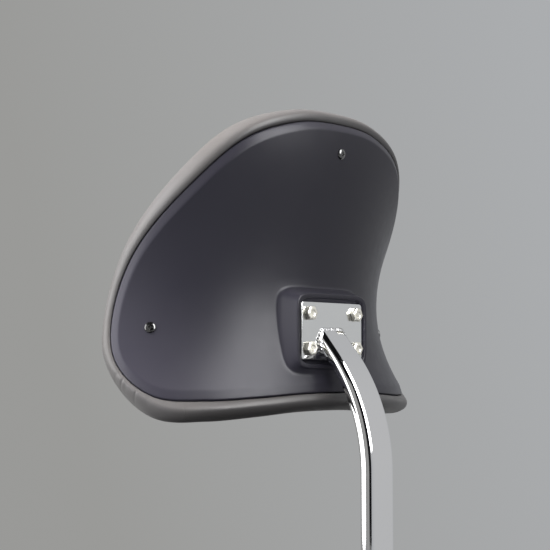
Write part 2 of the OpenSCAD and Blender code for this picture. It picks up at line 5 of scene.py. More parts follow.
import bmesh
import bpy
import numpy as np
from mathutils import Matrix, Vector, noise


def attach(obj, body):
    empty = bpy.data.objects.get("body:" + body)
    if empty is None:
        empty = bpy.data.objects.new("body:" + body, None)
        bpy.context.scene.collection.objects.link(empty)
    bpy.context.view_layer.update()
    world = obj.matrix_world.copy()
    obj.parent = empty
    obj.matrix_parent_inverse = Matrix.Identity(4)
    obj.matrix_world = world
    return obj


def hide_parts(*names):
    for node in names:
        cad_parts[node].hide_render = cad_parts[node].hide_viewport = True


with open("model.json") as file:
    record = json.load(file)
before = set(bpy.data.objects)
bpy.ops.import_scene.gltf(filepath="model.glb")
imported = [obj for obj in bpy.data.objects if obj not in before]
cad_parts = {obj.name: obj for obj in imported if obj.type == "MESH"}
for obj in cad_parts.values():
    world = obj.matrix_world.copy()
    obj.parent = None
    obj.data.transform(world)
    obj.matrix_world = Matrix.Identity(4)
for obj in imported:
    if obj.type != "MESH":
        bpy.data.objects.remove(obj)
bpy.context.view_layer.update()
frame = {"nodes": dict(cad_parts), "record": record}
nodes = frame["nodes"]
scene = bpy.context.scene
MM = 0.001

# sizes, as in the part's source (mm)
shell_half, shell_top, shell_drop = 231.0, 209.0, 65.0
wrap_r, wrap_ease, waist_z = 247.0, 65.0, 31.0
flare_rise, flare_span, flare_skew, flare_ease = 22.0, 100.0, -0.21, -0.07
shell_t, lip_w, lip_drop = 3.0, 8.0, 4.8
boss_rise, rim_w, rim_proud, gap_x, gap_z = 13.2, 5.0, 1.0, 2.5, 4.0
draft_x, draft_z, floor_t, boss_power = 6.5, 6.0, 3.5, 7.0
roll_top, roll_side, roll_drop, roll_t, crown = 16.0, 12.0, 6.5, 30.0, 12.0
late_power, early_power = 6, 1.5
board_depth, vinyl_t, turn_in = 10.0, 1.2, 20.0
plate_w, plate_h, plate_t, plate_r = 93.0, 58.0, 4.0, 3.5
bolt_dx, bolt_dz, plate_z = 70.0, 35.0, 250.0
bolt_d, bolt_af, bolt_head_h, bolt_len = 8.0, 13.0, 5.3, 30.0
screw_head_d, screw_d = 11.0, 5.0
screw_places = [(0.0, shell_top - 30.0), (shell_half - 40.0, 2.0), (40.0 - shell_half, 2.0)]
bar_w, bar_d, bar_wall, bar_r = 40.0, 16.0, 2.0, 7.5
leg_y, leg_back, bend_r, bend_angle = 70.0, 56.0, 170.0, math.radians(41.0)
weld_drop, weld_leg, bar_low = 10.0, 3.5, -114.7
seat, soft_gap = 0.1, 0.5
OUTLINE = [(0, 1), (0.26, 0.977), (0.52, 0.866), (0.723, 0.641), (0.897, 0.355), (0.99, 0.03),
           (0.985, -0.53), (0.87, -0.943), (0.66, -1), (0.42, -0.968), (0.2, -0.925), (0, -0.915)]

plate_y = leg_y - leg_back
floor_y = plate_y - plate_t - seat
boss_x = plate_w / 2 + gap_x + rim_w
boss_z = plate_h / 2 + gap_z + rim_w
roll_mid = lip_drop + vinyl_t + roll_t / 2
roll_front = roll_mid + roll_t / 2
hem = board_depth - soft_gap
hem_back = hem - vinyl_t
run_len = (leg_back - bend_r * (1 - math.cos(bend_angle))) / math.sin(bend_angle)
weld_z = plate_z - weld_drop
arc_z = weld_z - bend_r * math.sin(bend_angle) - run_len * math.cos(bend_angle)

# how finely the shapes are divided
OUTLINE_STEPS = 26                       # per segment of the outline
FINE_SEGMENTS = (5, 6, 7, 14, 15, 16)    # those with the folds, which get more
FINE_MORE = 5
OVAL_STEPS = 14                          # per corner of the bar
WELD_STEPS = 200


# the pad's surface, as in the source
def skin(s, v):
    """Points of the shell's surface, s round the wrap and v above the plate's centre."""
    t = (v - waist_z) / flare_span
    r = wrap_r + wrap_ease * t * t
    turn = s / r
    y = plate_y - boss_rise + flare_rise * (t ** 2 + flare_skew * t ** 3 + flare_ease * t ** 4)
    return np.stack([r * np.sin(turn), y - r * (1 - np.cos(turn)), plate_z + v + 0 * s], -1)


def skin_out(s, v, e=0.5):
    """The surface's outward direction, from points e to each side."""
    n = np.cross(skin(s, v + e) - skin(s, v - e), skin(s + e, v) - skin(s - e, v))
    return n / np.linalg.norm(n, axis=-1, keepdims=True)


def lay(line, depth):
    """A flat line laid on the surface, depth under it."""
    s, v = line[:, 0], line[:, 1]
    return skin(s, v) - np.broadcast_to(depth, s.shape)[:, None] * skin_out(s, v)


def outline(fine=()):
    """Closed outline of the shell. The segments in fine are divided more finely."""
    half = [(a * shell_half, b * (shell_top if b > 0 else shell_drop)) for a, b in OUTLINE]
    loop = np.array(half + [(-a, b) for a, b in half[-2:0:-1]])
    out = []
    for i in range(len(loop)):
        p, q, r, w = (loop[(i + j) % len(loop)] for j in (-1, 0, 1, 2))
        count = OUTLINE_STEPS * FINE_MORE if i in fine else OUTLINE_STEPS
        for t in np.arange(count) / count:
            out.append((2 * q + (r - p) * t + (2 * p - 5 * q + 4 * r - w) * t * t
                        + (3 * q - p - 3 * r + w) * t ** 3) / 2)
    return np.array(out)


def outward(line):
    """Outward direction at each point of a flat closed line."""
    d = np.roll(line, 1, 0) - np.roll(line, -1, 0)
    n = np.stack([d[:, 1], -d[:, 0]], -1)
    return n / np.linalg.norm(n, axis=1, keepdims=True)


def boss_line(line, a, b):
    """The boss's outline with half sizes a and b, with a point for each point of line."""
    u = line / np.linalg.norm(line, axis=1, keepdims=True)
    r = ((np.abs(u[:, 0]) / a) ** boss_power + (np.abs(u[:, 1]) / b) ** boss_power) ** (-1 / boss_power)
    return u * r[:, None]


def flat(line, y):
    """A flat line in the plate's plane, moved to y."""
    return np.stack([line[:, 0], np.full(len(line), y), plate_z + line[:, 1]], -1)


# mesh building
def add_object(name, data):
    ob = bpy.data.objects.new(name, data)
    scene.collection.objects.link(ob)
    return ob


def make(name, points, faces, sharp=None):
    """A smooth mesh object from points in mm. Edges past sharp degrees stay sharp."""
    me = bpy.data.meshes.new(name)
    me.from_pydata((np.asarray(points, float) * MM).tolist(), [], faces)
    me.validate()
    bm = bmesh.new()
    bm.from_mesh(me)
    bmesh.ops.recalc_face_normals(bm, faces=bm.faces)
    for f in bm.faces:
        f.smooth = True
    bm.to_mesh(me)
    bm.free()
    if sharp:
        me.set_sharp_from_angle(angle=math.radians(sharp))
    return add_object(name, me)


def bands(k, n, wrap=False, start=0):
    """Faces between k rings of n points."""
    out = []
    for i in range(k if wrap else k - 1):
        a, b = start + i * n, start + ((i + 1) % k) * n
        out += [(a + j, a + (j + 1) % n, b + (j + 1) % n, b + j) for j in range(n)]
    return out


def fan(mid, start, n):
    """Faces from a middle point to a ring of n points."""
    return [(mid, start + j, start + (j + 1) % n) for j in range(n)]


def loft(name, rings, first=None, last=None, wrap=False, sharp=None):
    """A skin through closed rings, with a middle point at an end where one is given."""
    k, n = len(rings), len(rings[0])
    points = np.concatenate(rings)
    faces = bands(k, n, wrap)
    for mid, base in ((first, 0), (last, (k - 1) * n)):
        if mid is not None:
            points = np.vstack([points, mid])
            faces += fan(len(points) - 1, base, n)
    return make(name, points, faces, sharp)


def join(name, parts):
    """One mesh object out of several."""
    bm = bmesh.new()
    for p in parts:
        bm.from_mesh(p.data)
    me = bpy.data.meshes.new(name)
    bm.to_mesh(me)
    bm.free()
    for p in parts:
        data = p.data
        bpy.data.objects.remove(p)
        bpy.data.meshes.remove(data)
    return add_object(name, me)


def place(points, origin, out, up=(0, 0, 1)):
    """Points whose third axis is out, moved to origin. All in mm."""
    out = np.array(out, float) / np.linalg.norm(out)
    side = np.cross(up, out)
    side = side / np.linalg.norm(side)
    return origin + points @ np.stack([side, np.cross(out, side), out])


def ring(xy, z):
    """A flat closed line at height z."""
    return np.column_stack([xy, np.broadcast_to(z, len(xy))])


def turned(name, rings, z_first, z_last, origin, out, sharp):
    """A closed piece through rings, which stands on origin with its axis along out."""
    ends = [place(np.array([[0, 0, z]]), origin, out)[0] for z in (z_first, z_last)]
    return loft(name, [place(r, origin, out) for r in rings], first=ends[0], last=ends[1], sharp=sharp)


def oval(w, d, r, seg):
    """A rounded rectangle as (x, y) points, round its four corners."""
    pts = []
    for k, (sx, sy) in enumerate(((1, 1), (-1, 1), (-1, -1), (1, -1))):
        for a in np.radians(90 * k + np.linspace(0, 90, seg + 1)):
            pts.append((sx * (w / 2 - r) + r * math.cos(a), sy * (d / 2 - r) + r * math.sin(a)))
    return np.array(pts)


def refined(node, width):
    """A copy of a CAD node's mesh with its sharp edges rounded, width in mm."""
    same_place, same_plane, rounded_from, stays_sharp = 2e-6, 0.6, 30, 28    # metres, then degrees
    bm = bmesh.new()
    bm.from_mesh(nodes[node].data)
    bmesh.ops.remove_doubles(bm, verts=bm.verts, dist=same_place)
    bmesh.ops.dissolve_limit(bm, angle_limit=math.radians(same_plane), verts=bm.verts, edges=bm.edges)
    edges = [e for e in bm.edges
             if len(e.link_faces) == 2 and e.calc_face_angle(0) > math.radians(rounded_from)]
    bmesh.ops.bevel(bm, geom=edges, offset=width * MM, offset_type="OFFSET", segments=2, profile=0.6,
                    affect="EDGES", clamp_overlap=True)
    for f in bm.faces:
        f.smooth = True
    me = bpy.data.meshes.new("fine_" + node)
    bm.to_mesh(me)
    bm.free()
    me.set_sharp_from_angle(angle=math.radians(stays_sharp))
    return add_object("fine_" + node, me)


# materials
def add_node(tree, kind, **values):
    """A shader node. Lower case keys are its settings, the others its inputs, as values or links."""
    n = tree.nodes.new("ShaderNode" + kind)
    for key, value in values.items():
        if key[0].islower():
            setattr(n, key, value)
        elif hasattr(value, "links"):
            tree.links.new(value, n.inputs[key.replace("_", " ")])
        else:
            n.inputs[key.replace("_", " ")].default_value = value
    return n


def add_material(name, color, **values):
    """A material and its Principled shader, with values for the shader's inputs."""
    mat = bpy.data.materials.new(name)
    mat.use_nodes = True
    bsdf = mat.node_tree.nodes["Principled BSDF"]
    bsdf.inputs["Base Color"].default_value = color + (1,)
    for key, value in values.items():
        bsdf.inputs[key.replace("_", " ")].default_value = value
    return mat, bsdf


class Mat:
    """A material with a Principled shader and short ways to add texture to it."""

    def __init__(self, name, color, rough, metal=0.0, **values):
        self.mat, self.bsdf = add_material(name, color, Roughness=rough, Metallic=metal, **values)
        self.tree = self.mat.node_tree
        self.color = color + (1,)
        self.coord = self.node("TexCoord").outputs["Object"]
        self.bump_from = None
        self.mixed = None

    def node(self, kind, **values):
        return add_node(self.tree, kind, **values)

    def stretch(self, x, y, z):
        return self.node("Mapping", Vector=self.coord, Scale=(x, y, z)).outputs["Vector"]

    def noise(self, scale, detail=3.0, rough=0.5, vector=None):
        return self.node("TexNoise", Vector=vector or self.coord, Scale=scale, Detail=detail,
                         Roughness=rough).outputs["Fac"]

    def cells(self, scale, feature="F1"):
        return self.node("TexVoronoi", Vector=self.coord, Scale=scale, feature=feature).outputs["Distance"]

    def spread(self, fac, lo, hi, a=0.0, b=1.0):
        """A value of lo to hi, as a to b."""
        n = self.node("MapRange", Value=fac, From_Min=lo, From_Max=hi, To_Min=a, To_Max=b)
        return n.outputs["Result"]

    def tint(self, fac, other):
        """Base colour that goes from what it is so far to another by fac."""
        m = self.node("Mix", data_type="RGBA")
        self.tree.links.new(fac, m.inputs[0])
        if self.mixed is None:
            m.inputs[6].default_value = self.color
        else:
            self.tree.links.new(self.mixed, m.inputs[6])
        m.inputs[7].default_value = other + (1,)
        self.mixed = m.outputs[2]
        self.tree.links.new(self.mixed, self.bsdf.inputs["Base Color"])
        return self

    def gloss(self, fac, a, b):
        """Roughness of a to b by fac."""
        self.tree.links.new(self.spread(fac, 0.3, 0.7, a, b), self.bsdf.inputs["Roughness"])
        return self

    def bump(self, height, mm, strength=1.0):
        """A bump of so many mm, on top of those the material has."""
        n = self.node("Bump", Height=height, Strength=strength, Distance=mm * MM)
        if self.bump_from is not None:
            self.tree.links.new(self.bump_from, n.inputs["Normal"])
        self.bump_from = n.outputs["Normal"]
        self.tree.links.new(self.bump_from, self.bsdf.inputs["Normal"])
        return self


vinyl = Mat("vinyl_taupe", (0.185, 0.179, 0.18), 0.4, Specular_IOR_Level=0.5)
vinyl.tint(vinyl.spread(vinyl.noise(14, 4), 0.35, 0.7), (0.17, 0.161, 0.157))
vinyl.tint(vinyl.spread(vinyl.cells(1150), 0.0, 0.12, 0.35, 0.0), (0.12, 0.11, 0.105))
vinyl.gloss(vinyl.noise(40, 3), 0.36, 0.44)
vinyl.bump(vinyl.noise(55, 3), 0.25, 0.35)
vinyl.bump(vinyl.cells(1150, "SMOOTH_F1"), 0.09, 0.6)

ply = Mat("plywood", (0.52, 0.35, 0.19), 0.6)
ply.tint(ply.spread(ply.noise(9, 5, 0.6, ply.stretch(1, 1, 14)), 0.3, 0.7), (0.38, 0.23, 0.11))
ply.bump(ply.noise(30, 4, 0.6, ply.stretch(1, 1, 20)), 0.1)

shell_mat = Mat("shell_charcoal", (0.072, 0.069, 0.092), 0.35, Specular_IOR_Level=0.3)
shell_mat.tint(shell_mat.spread(shell_mat.noise(7, 3), 0.3, 0.75), (0.063, 0.061, 0.082))
shell_mat.gloss(shell_mat.noise(90, 4, 0.65), 0.31, 0.38)
shell_mat.bump(shell_mat.noise(2600, 2), 0.02, 0.5)
shell_mat.bump(shell_mat.noise(9, 2), 0.6, 0.15)

chrome = Mat("bar_chrome", (0.9, 0.9, 0.91), 0.055, 1.0)
chrome.gloss(chrome.noise(60, 4, 0.6), 0.035, 0.085)
chrome.bump(chrome.noise(26, 2), 0.12, 0.2)

plate_mat = Mat("plate_chrome", (0.88, 0.89, 0.89), 0.13, 1.0)
plate_mat.gloss(plate_mat.noise(120, 4, 0.6), 0.09, 0.17)
plate_mat.bump(plate_mat.noise(35, 2), 0.1, 0.2)

weld_mat = Mat("weld_chrome", (0.82, 0.82, 0.83), 0.12, 1.0)
weld_mat.gloss(weld_mat.noise(300, 3), 0.06, 0.25)
weld_mat.bump(weld_mat.noise(420, 4, 0.6), 0.35, 0.8)

zinc = Mat("bolt_zinc", (0.93, 0.91, 0.83), 0.3, 1.0)
zinc.tint(zinc.spread(zinc.noise(260, 3), 0.4, 0.7), (0.84, 0.81, 0.7))
zinc.gloss(zinc.noise(500, 3), 0.26, 0.42).bump(zinc.noise(700, 3), 0.03, 0.5)

steel = Mat("zinc_steel", (0.6, 0.61, 0.62), 0.32, 1.0)
steel.tint(steel.spread(steel.noise(180, 3), 0.35, 0.7), (0.5, 0.51, 0.53))
steel.gloss(steel.noise(400, 3), 0.25, 0.4).bump(steel.noise(900, 2), 0.02, 0.5)

brass = Mat("insert_brass", (0.72, 0.55, 0.25), 0.28, 1.0)
brass.tint(brass.spread(brass.noise(200, 3), 0.4, 0.7), (0.6, 0.44, 0.2)).bump(brass.noise(600), 0.02, 0.5)

black_screw = Mat("black_screw", (0.012, 0.012, 0.013), 0.12, 0.0, Specular_IOR_Level=0.8, Coat_Weight=1.0,
                  Coat_Roughness=0.04, Coat_IOR=1.8)
black_screw.gloss(black_screw.noise(500, 3), 0.08, 0.16).bump(black_screw.noise(500), 0.02, 0.4)

paint = Mat("black_paint", (0.022, 0.022, 0.023), 0.36, 0.0, Coat_Weight=0.15, Coat_Roughness=0.3)
paint.tint(paint.spread(paint.noise(30, 3), 0.35, 0.7), (0.028, 0.028, 0.029))
paint.gloss(paint.noise(150, 3), 0.3, 0.42).bump(paint.noise(420, 2), 0.05, 0.6)

black_plastic = Mat("black_plastic", (0.024, 0.024, 0.025), 0.5)
black_plastic.tint(black_plastic.spread(black_plastic.noise(60, 3), 0.35, 0.7), (0.03, 0.03, 0.031))
black_plastic.gloss(black_plastic.noise(200), 0.44, 0.56).bump(black_plastic.cells(1800), 0.03, 0.6)

nylon = Mat("nylon_grey", (0.42, 0.42, 0.41), 0.45)
nylon.tint(nylon.spread(nylon.noise(50, 3), 0.35, 0.7), (0.37, 0.37, 0.36)).bump(nylon.noise(900), 0.02, 0.5)

SLOTS = {"vinyl": vinyl, "plywood": ply, "zinc_steel": steel, "insert_brass": brass,
         "shell_plastic": shell_mat, "black_screw": black_screw, "plate_chrome": plate_mat,
         "bolt_zinc": zinc, "weld_chrome": weld_mat, "bar_chrome": chrome, "black_plastic": black_plastic,
         "black_paint": paint, "nylon": nylon, "knob_plastic": black_plastic}


def dress(ob, slot, body, *replaced):
    """Material, finish slot, body and the CAD nodes that the piece stands for."""
    ob.data.materials.clear()
    ob.data.materials.append(SLOTS[slot].mat)
    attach(ob, body)
    if replaced:
        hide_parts(*replaced)
    return ob


# back shell
# its bevelled lip, from behind the edge to the field: distance in from the edge, depth under the surface
LIP = [(3.0, 7.8), (0.7, 7.8), (0.2, 7.65), (0.0, 7.2), (0.0, 5.2), (0.1, 4.6), (0.35, 4.15), (0.8, 3.75),
       (1.6, 3.2), (2.6, 2.6), (3.8, 1.95), (5.2, 1.2), (6.6, 0.55), (7.6, 0.18), (8.4, 0.0), (9.6, 0.0)]
lip_bevel = 5.5                  # the bevel is what lies less deep than this
lip_flat = 0.48                  # share by which the bevel is shallower along the lower edge
FIELD_STEPS = 16
foot_far, foot_near, foot_lift = 2.4, 0.9, 0.15     # round foot of the boss
WALL_SHARES = (0.06, 0.25, 0.5, 0.75, 0.93)         # rings up the boss's wall
rim_round = 0.3                                     # radius of the rim's edges, as a share of its width
RIM_DEGREES = (0, 25, 50, 75, 90)                   # rings round the rim's outer edge
RIM_IN_DEGREES = (90, 65, 40, 15, 0)                # and round its inner edge
floor_round = 0.8                                   # round of the boss's floor
INNER_STEPS = 8


def build_shell():
    line = outline()
    out = outward(line)
    low = low_share(out)
    rings = [lay(line - out * u, d if d > lip_bevel else d * (1 - lip_flat * low)) for u, d in LIP]
    field = line - out * LIP[-1][0]
    wide = boss_line(line, boss_x + draft_x + foot_far, boss_z + draft_z + foot_far)
    for share in np.linspace(0, 1, FIELD_STEPS)[1:]:
        rings.append(lay(field * (1 - share) + wide * share, 0.0))

    foot = lay(boss_line(line, boss_x + draft_x, boss_z + draft_z), 0.0)
    top_y, edge = plate_y + rim_proud, rim_w * rim_round
    head = flat(boss_line(line, boss_x, boss_z), top_y - edge)
    rings.append(lay(boss_line(line, boss_x + draft_x + foot_near, boss_z + draft_z + foot_near), -foot_lift))
    for share in WALL_SHARES:
        rings.append(foot * (1 - share) + head * share)
    for a in np.radians(RIM_DEGREES):
        less = edge * (1 - math.cos(a))
        rings.append(flat(boss_line(line, boss_x - less, boss_z - less), top_y - edge * (1 - math.sin(a))))
    for a in np.radians(RIM_IN_DEGREES):
        less = rim_w - edge * (1 - math.cos(a))
        rings.append(flat(boss_line(line, boss_x - less, boss_z - less), top_y - edge * (1 - math.sin(a))))
    for more in (0.0, floor_round):
        rings.append(flat(boss_line(line, boss_x - rim_w - more, boss_z - rim_w - more),
                          floor_y + floor_round - more))

    under = [flat(boss_line(line, boss_x - shell_t, boss_z - shell_t), floor_y - floor_t)]
    base_in = boss_line(line, boss_x + draft_x - shell_t, boss_z + draft_z - shell_t)
    lip_in = line - out * (lip_w + shell_t / 2)
    for share in np.linspace(1, 0, INNER_STEPS):
        under.append(lay(lip_in * (1 - share) + base_in * share, shell_t))

    n, k_out, k_in = len(line), len(rings), len(under)
    points = np.vstack([np.concatenate(rings + under), [0, floor_y, plate_z],
                        [0, floor_y - floor_t, plate_z]])
    faces = bands(k_out, n) + bands(k_in, n, start=k_out * n)
    last = (k_out + k_in - 1) * n
    faces += [(last + j, last + (j + 1) % n, (j + 1) % n, j) for j in range(n)]
    mid = len(points) - 2
    faces += fan(mid, (k_out - 1) * n, n) + fan(mid + 1, k_out * n, n)
    shell = make("shell_moulding", points, faces, 60)
    return dress(shell, "shell_plastic", "back", "back_shell")


# upholstered cushion (mm)
# folds of the cover: place on the outline, depth and width
FOLDS = [((226, -37.5), 0.4, 1.5), ((223, -43), 0.6, 0.9), ((220.5, -46.5), 0.3, 1.6),
         ((214.5, -53), 0.6, 0.8), ((207, -58), 0.25, 2.2), ((178.5, -65), 0.2, 0.6),
         ((-224, -41), 0.5, 1.2), ((-219, -48), 0.4, 1.4), ((-213, -54.5), 0.7, 0.8)]
# the roll is fullest to the rear at its crest and fullest outwards at its widest line
crest_depth, crest_out = 4.2, 2.5
crest_out_top = 3.0              # the crest is this much further out along the top
low_over = 10.8                  # overhang along the lower edge
low_crest, low_widest = 2.0, 11.0              # how much nearer the back crest and widest line are there
swell_at, swell_half, swell_out = 184.0, 34.0, 2.0    # the roll swells at this distance from the middle
tuck_at, tuck_half, tuck_in = 220.0, 14.0, 1.6        # and is drawn in at the corner
broad_at, broad_soft, broad_min, broad_more = 112.0, 14.0, 1.9, 2.6    # its crest is broader past here
widest_past_crest = 2.0          # least distance between crest and widest line
front_share = 0.42               # share of the overhang that is left at the front
gap_edge = 0.3                   # where the cover comes out beside the shell
TUCK_RINGS = (-turn_in, -turn_in * 0.5, -3.0, -0.8)
CREST_DEGREES = (4, 14, 26, 38, 50, 62, 74, 82)
CROWN_SHARES = (0.985, 0.965, 0.94, 0.9, 0.85, 0.79, 0.72, 0.64, 0.55, 0.45, 0.34, 0.22, 0.1)
fold_dip = 0.4                   # a fold also goes this share of its depth to the front


def low_share(out):
    """How far each outline point belongs to the bottom edge, 0 to 1."""
    return np.clip(-out[:, 1], 0, 1) ** 2


def overhang(out):
    """The cushion's overhang, as in the source."""
    up = out[:, 1]
    return np.where(up > 0, roll_side + (roll_top - roll_side) * np.abs(up) ** late_power,
                    roll_drop + (roll_side - roll_drop) * np.clip(1 + up, 0, 1) ** early_power)


def pleats(line):
    """Depth in mm of the small folds in the cover, near the lower left and right corners."""
    length = np.linalg.norm(np.roll(line, -1, 0) - line, axis=1)
    at = np.concatenate([[0], np.cumsum(length)[:-1]])
    deep = np.zeros(len(line))
    for place_at, depth, width in FOLDS:
        knot = np.argmin(np.linalg.norm(line - np.array(place_at), axis=1))
        deep += depth * np.exp(-((at - at[knot]) / width) ** 2)
    return deep


def roll_section(line, out):
    """The roll as steps of (distance out, depth, share of the folds), each with a value per outline point."""
    low = low_share(out)
    high = np.clip(out[:, 1], 0, 1) ** 4
    across = np.abs(line[:, 0])
    swell = low * np.exp(-((across - swell_at) / swell_half) ** 2)
    tuck = np.exp(-((across - tuck_at) / tuck_half) ** 2) * low ** 0.5
    over = overhang(out) + (low_over - roll_drop) * low - tuck_in * tuck + swell_out * swell
    broad = broad_min + broad_more / (1 + np.exp((broad_at - across) / broad_soft))
    crest = np.minimum(crest_out + crest_out_top * high + low * broad, over - widest_past_crest)
    rear = crest_depth - low_crest * low
    widest = roll_mid - low_widest * low
    inner = front_share * over * (1 - low)
    steps = []
    # from the shell's edge to the crest, then round to the widest line, then to the front. The powers make
    # these turns fuller or flatter, and change along the lower edge
    for b in np.radians(CREST_DEGREES):
        steps.append((crest - (crest - gap_edge) * math.cos(b) ** (0.7 + 0.5 * low),
                      hem_back - (hem_back - rear) * math.sin(b) ** (0.6 - 0.25 * low), 0.8))
    for b in np.radians(np.arange(90, -1, -6)):
        steps.append((crest + (over - crest) * math.cos(b) ** (1.05 - 0.2 * low),
                      widest - (widest - rear) * math.sin(b) ** 1.05, 0.3 + 0.6 * math.sin(b)))
    for b in np.radians(np.arange(8, 91, 8)):
        steps.append((inner + (over - inner) * math.cos(b) ** (1 + 0.6 * swell),
                      widest + (roll_front - widest) * math.sin(b), 0.3 * math.cos(b) ** 2))
    return steps


def build_cushion():
    line = outline(FINE_SEGMENTS)
    out = outward(line)
    folds = pleats(line)
    rings = [lay(line + out * u, hem_back) for u in TUCK_RINGS]
    for u, depth, share in roll_section(line, out):
        rings.append(lay(line + out * (u - folds * share)[:, None], depth + fold_dip * folds * share))
    for share in CROWN_SHARES:
        rings.append(lay(line * share, roll_front + crown * (1 - share * share) ** 2))
    tip = lay(np.zeros((1, 2)), roll_front + crown)
    cushion = loft("vinyl_cushion", rings, last=tip)
    return dress(cushion, "vinyl", "back", "vinyl_cover", "foam_cushion")


# plate, bolts and screws (mm)
# the plate's edge from front to rear: inset and height over its front face
PLATE_EDGE = ((1.0, 0.0), (0.3, 0.25), (0.0, 0.8), (0.0, 2.9), (0.1, 3.3), (0.35, 3.62), (0.75, 3.82),
              (1.4, 3.94), (2.3, 4.0))
PLATE_CORNER_STEPS = 8
corner_less, corner_min = 0.35, 1.2     # its corners shrink with the inset, down to the least radius

hex_corner = 0.35                # corner radius of a bolt head
HEX_CORNER_STEPS = 4
face_share = 0.47                # radius of the round face, as a share of the width across flats
chamfer = math.tan(math.radians(30))
BOLT_DISH = ((3.75, 0.0), (3.45, 0.2), (2.8, 0.6), (1.4, 0.75))     # dish in the face: radius and depth
dish_deep = 0.78
BOLT_TURNS = (4, -7, 11, 2)      # degrees, so that no two heads stand alike

screw_shank = 18.0
SCREW_STEPS = 40
# a screw head from its foot to the recess: share of the radius and height
SCREW_DOME = ((1.0, 0.25), (1.0, 0.4), (0.95, 0.85), (0.84, 1.3), (0.68, 1.7), (0.54, 1.92))
SCREW_CROSS = ((2.7, 2.0), (2.5, 1.85), (1.9, 0.9))     # half width of the cross recess and height
cross_waist = 0.42               # the cross's least width, as a share
cross_floor = 0.8


def build_plate():
    rings = []
    for inset, y in PLATE_EDGE:
        p = oval(plate_w - 2 * inset, plate_h - 2 * inset, max(plate_r - inset * corner_less, corner_min),
                 PLATE_CORNER_STEPS)
        rings.append(flat(p, plate_y - plate_t + y))
    plate = loft("plate_pressed", rings, first=[0, plate_y - plate_t, plate_z], last=[0, plate_y, plate_z],
                 sharp=50)
    return dress(plate, "plate_chrome", "back", "mount_plate")


def hexagon(across, corner, seg):
    """A hexagon with small round corners and two flats level, as (x, z) points."""
    pts, r = [], across / 2 / math.cos(math.pi / 6) - corner / math.cos(math.pi / 6)
    for k in range(6):
        mid = math.radians(60 * k)
        for a in mid + np.radians(np.linspace(-30, 30, seg + 1)):
            pts.append((r * math.cos(mid) + corner * math.cos(a), r * math.sin(mid) + corner * math.sin(a)))
    return np.array(pts)


def build_bolts():
    hexa = hexagon(bolt_af, hex_corner, HEX_CORNER_STEPS)
    radius = np.linalg.norm(hexa, axis=1, keepdims=True)
    unit = hexa / radius
    face, top = bolt_af * face_share, bolt_head_h
    fall = np.maximum(radius - face, 0)[:, 0] * chamfer
    # shank and foot, six sides and chamfer, round edge of the face, and the dish in it
    profile = [ring(unit * bolt_d / 2, -bolt_len), ring(unit * bolt_d / 2, 0.0), ring(unit * 6.0, 0.0),
               ring(unit * 6.1, 0.3), ring(hexa * 0.985, 0.35), ring(hexa, 0.55),
               ring(hexa, top - fall - 0.25), ring(hexa * 0.99, top - fall),
               ring(unit * (face + 0.1), top - 0.12), ring(unit * (face - 0.3), top)]
    profile += [ring(unit * r, top - deep) for r, deep in BOLT_DISH]
    heads = []
    for degrees, (sx, sz) in zip(BOLT_TURNS, ((-1, -1), (-1, 1), (1, -1), (1, 1))):
        c, s = math.cos(math.radians(degrees)), math.sin(math.radians(degrees))
        spin = np.array([[c, s, 0], [-s, c, 0], [0, 0, 1]])
        origin = np.array([sx * bolt_dx / 2, plate_y + seat, plate_z + sz * bolt_dz / 2])
        heads.append(turned("head", [r @ spin for r in profile], -bolt_len, top - dish_deep, origin,
                            (0, 1, 0), 24))
    return dress(join("bolt_heads", heads), "bolt_zinc", "back", "hex_bolts")


def build_screws():
    a = np.arange(SCREW_STEPS) * 2 * math.pi / SCREW_STEPS
    circle = np.stack([np.cos(a), np.sin(a)], -1)
    cross = circle * (cross_waist + (1 - cross_waist) * np.abs(np.cos(2 * a)) ** 3)[:, None]
    r = screw_head_d / 2
    profile = [ring(circle * screw_d / 2, -screw_shank), ring(circle * screw_d / 2, 0.1),
               ring(circle * (r - 0.1), 0.1)]
    profile += [ring(circle * r * share, z) for share, z in SCREW_DOME]
    profile += [ring(cross * half, z) for half, z in SCREW_CROSS]
    parts = []
    for s, v in screw_places:
        s, v = np.array([s]), np.array([v])
        parts.append(turned("screw", profile, -screw_shank, cross_floor, skin(s, v)[0],
                            skin_out(s, v)[0], 45))
    return dress(join("screw_caps", parts), "black_screw", "back", "shell_screws")


# bar and weld (mm)
LEG_STEPS, BEND_STEPS = 9, 61
# the bead's section, from its toe on the plate to the bar: shares of its leg outwards and up
WELD_SECTION = ((1.0, 0.0), (0.93, 0.35), (0.74, 0.66), (0.45, 0.88), (0.18, 0.98), (0.0, 1.0),
                (-0.02, 0.5), (-0.02, 0.0))
ripple_pitch = 2.6               # mm along the bead
rough_per_mm = 0.16              # how fast its rough spots follow each other
# shares of the leg: all round, and more where the blob is
thin, thin_ripple, thin_rough = 0.36, 0.1, 0.16
blob_more, blob_rough, blob_ripple = 0.55, 0.5, 0.12
blob_low, blob_reach = 0.7, 0.2  # the blob's part at the lower side, and how far it goes past the middle
weld_leg_min, weld_leg_max = 1.1, 4.2


def bar_stations():
    """Centre and angle along the bar, from its low end to the bend's upper end."""
    out = [(leg_y, z, 0.0) for z in np.linspace(bar_low, arc_z, LEG_STEPS)[:-1]]
    for a in np.linspace(0, bend_angle, BEND_STEPS):
        out.append((leg_y - bend_r * (1 - math.cos(a)), arc_z + bend_r * math.sin(a), a))
    return out


